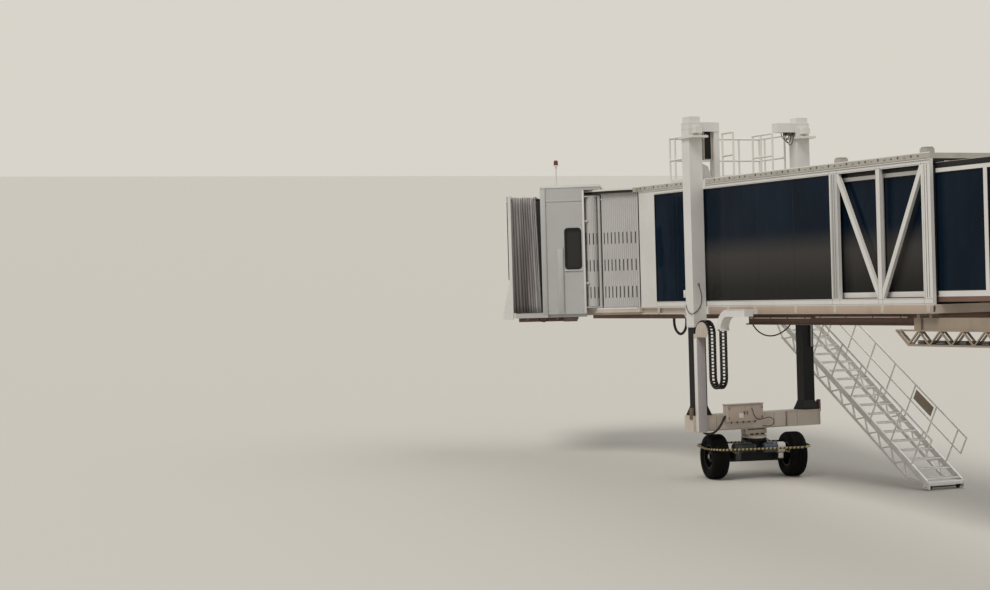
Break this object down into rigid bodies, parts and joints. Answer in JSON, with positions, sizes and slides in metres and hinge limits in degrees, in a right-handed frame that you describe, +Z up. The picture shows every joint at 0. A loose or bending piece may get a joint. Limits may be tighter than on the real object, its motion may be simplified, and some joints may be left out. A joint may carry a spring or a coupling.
{
  "type": "passenger boarding bridge",
  "caption": "Covered walkway bridge: glazed telescoping tunnels on a column and a wheeled lift, with a turning cab, a folding canopy and a service stair.",
  "frame": {"origin": "centre of the lobby column's base, on the ground", "axes": "+X along the tunnels to the cab, +Y to the side the cab is turned to, +Z up"},
  "size_m": [27.9339, 7.6175, 8.5898],
  "materials": {
    "white_paint": "semi-gloss off-white paint",
    "grey_paint": "satin warm grey paint",
    "roof_paint": "satin light grey roof paint",
    "cab_paint": "satin light grey paint",
    "floor_covering": "ribbed floor covering",
    "slat_metal": "coated slats",
    "tinted_glass": "dark tinted glass",
    "brown_steel": "dull red-brown primer",
    "black_steel": "dull black paint",
    "motor_paint": "grey-blue paint",
    "warning_paint": "yellow and black bands",
    "tyre_rubber": "solid tyre rubber",
    "stair_metal": "bare aluminium",
    "wheel_plastic": "black plastic",
    "bellows_fabric": "coated pleated fabric",
    "cable_rubber": "black rubber",
    "fitting_metal": "painted fittings"
  },
  "bodies": {
    "support": {"support_column": "grey_paint", "lobby_floor": "floor_covering", "lobby_portal": "white_paint", "lobby_roof": "grey_paint", "lobby_curtains": "slat_metal"},
    "swing": {"swing_frame": "grey_paint", "hinge_bellows": "bellows_fabric"},
    "inner_tunnel": {"inner_floor": "brown_steel", "inner_roof": "roof_paint", "inner_frame_left": "white_paint", "inner_frame_right": "white_paint", "inner_glass": "tinted_glass"},
    "outer_tunnel": {"outer_floor": "grey_paint", "outer_underframe": "brown_steel", "outer_roof": "roof_paint", "outer_frame_left": "white_paint", "outer_frame_right": "white_paint", "outer_glass": "tinted_glass", "service_door": "white_paint", "lift_tubes": "white_paint", "column_heads": "white_paint", "head_screen": "black_steel", "roof_rails": "stair_metal", "bridgehead_floor": "grey_paint", "bridgehead_roof": "roof_paint", "curtain_left": "slat_metal", "curtain_right": "slat_metal", "cable_tray": "grey_paint", "tray_chain": "cable_rubber", "chain_trough": "white_paint", "lift_chain": "cable_rubber", "service_landing": "stair_metal", "landing_rails": "stair_metal", "hose_loop": "cable_rubber", "cable_loop": "cable_rubber"},
    "carriage": {"lower_columns": "black_steel", "cross_beam": "grey_paint", "control_cabinet": "grey_paint"},
    "pivot": {"pivot_block": "grey_paint"},
    "bogie": {"bogie_frame": "black_steel", "drive_motors": "motor_paint", "safety_hoop": "warning_paint"},
    "wheel_left": {"tyre_left": "tyre_rubber", "rim_left": "black_steel"},
    "wheel_right": {"tyre_right": "tyre_rubber", "rim_right": "black_steel"},
    "cab": {"cab_floor": "cab_paint", "cab_wall_left": "cab_paint", "cab_wall_right": "cab_paint", "cab_roof": "cab_paint", "cab_windows": "tinted_glass", "curtain_drums": "slat_metal", "cab_fittings": "fitting_metal", "canopy_bellows": "bellows_fabric"},
    "canopy": {"canopy_frame": "white_paint"},
    "stair": {"stair_sides": "stair_metal", "stair_treads": "stair_metal", "stair_rails": "stair_metal"},
    "stair_foot": {"stair_wheels": "wheel_plastic"}
  },
  "joints": [
    {"name": "tunnel_swing", "type": "hinge", "parent": "support", "child": "swing", "pos_m": [0, 0, 4.95683], "axis": [0, 0, 1], "range_deg": [-40, 40], "deforming": ["lobby_curtains"]},
    {"name": "tunnel_pitch", "type": "hinge", "parent": "swing", "child": "inner_tunnel", "pos_m": [2.05, 0, 4.95683], "axis": [0, -1, 0], "range_deg": [-2, 4.5], "deforming": ["hinge_bellows"]},
    {"name": "telescope", "type": "slide", "parent": "inner_tunnel", "child": "outer_tunnel", "axis": [0.9979, 0, -0.0654], "range_m": [-4, 3]},
    {"name": "column_lift", "type": "slide", "parent": "outer_tunnel", "child": "carriage", "axis": [-0.0654, 0, -0.9979], "range_m": [-0.6, 1.3], "deforming": ["lift_chain"]},
    {"name": "bogie_level", "type": "hinge", "parent": "carriage", "child": "pivot", "pos_m": [17.53096, 0, 1.10099], "axis": [0, 1, 0], "range_deg": [-2.5, 5]},
    {"name": "bogie_steer", "type": "hinge", "parent": "pivot", "child": "bogie", "pos_m": [17.53096, 0, 0.9], "axis": [0, 0, 1], "range_deg": [-80, 100]},
    {"name": "wheel_left_roll", "type": "hinge", "parent": "bogie", "child": "wheel_left", "pos_m": [17.70287, 0.97496, 0.53], "axis": [0.1736, 0.9848, 0], "continuous": true},
    {"name": "wheel_right_roll", "type": "hinge", "parent": "bogie", "child": "wheel_right", "pos_m": [17.35905, -0.97496, 0.53], "axis": [0.1736, 0.9848, 0], "continuous": true},
    {"name": "cab_turn", "type": "hinge", "parent": "outer_tunnel", "child": "cab", "pos_m": [22.2766, 0, 3.63111], "axis": [0.0654, 0, 0.9979], "range_deg": [-92.5, 30], "deforming": ["curtain_left", "curtain_right"]},
    {"name": "canopy_slide", "type": "slide", "parent": "cab", "child": "canopy", "axis": [0.4989, 0.866, -0.0327], "range_m": [0, 0.5], "deforming": ["canopy_bellows"]},
    {"name": "stair_hinge", "type": "hinge", "parent": "outer_tunnel", "child": "stair", "pos_m": [20.74639, -3.005, 3.76], "axis": [0, -1, 0], "range_deg": [-3.5, 8.5]},
    {"name": "stair_wheel_roll", "type": "hinge", "parent": "stair", "child": "stair_foot", "pos_m": [14.13639, -3.005, 0.06], "axis": [0, 1, 0], "continuous": true}
  ],
  "couplings": [
    {"joint": "column_lift", "follows": "tunnel_pitch", "m_per_rad": 15.6},
    {"joint": "bogie_level", "follows": "tunnel_pitch", "ratio": 1}
  ]
}
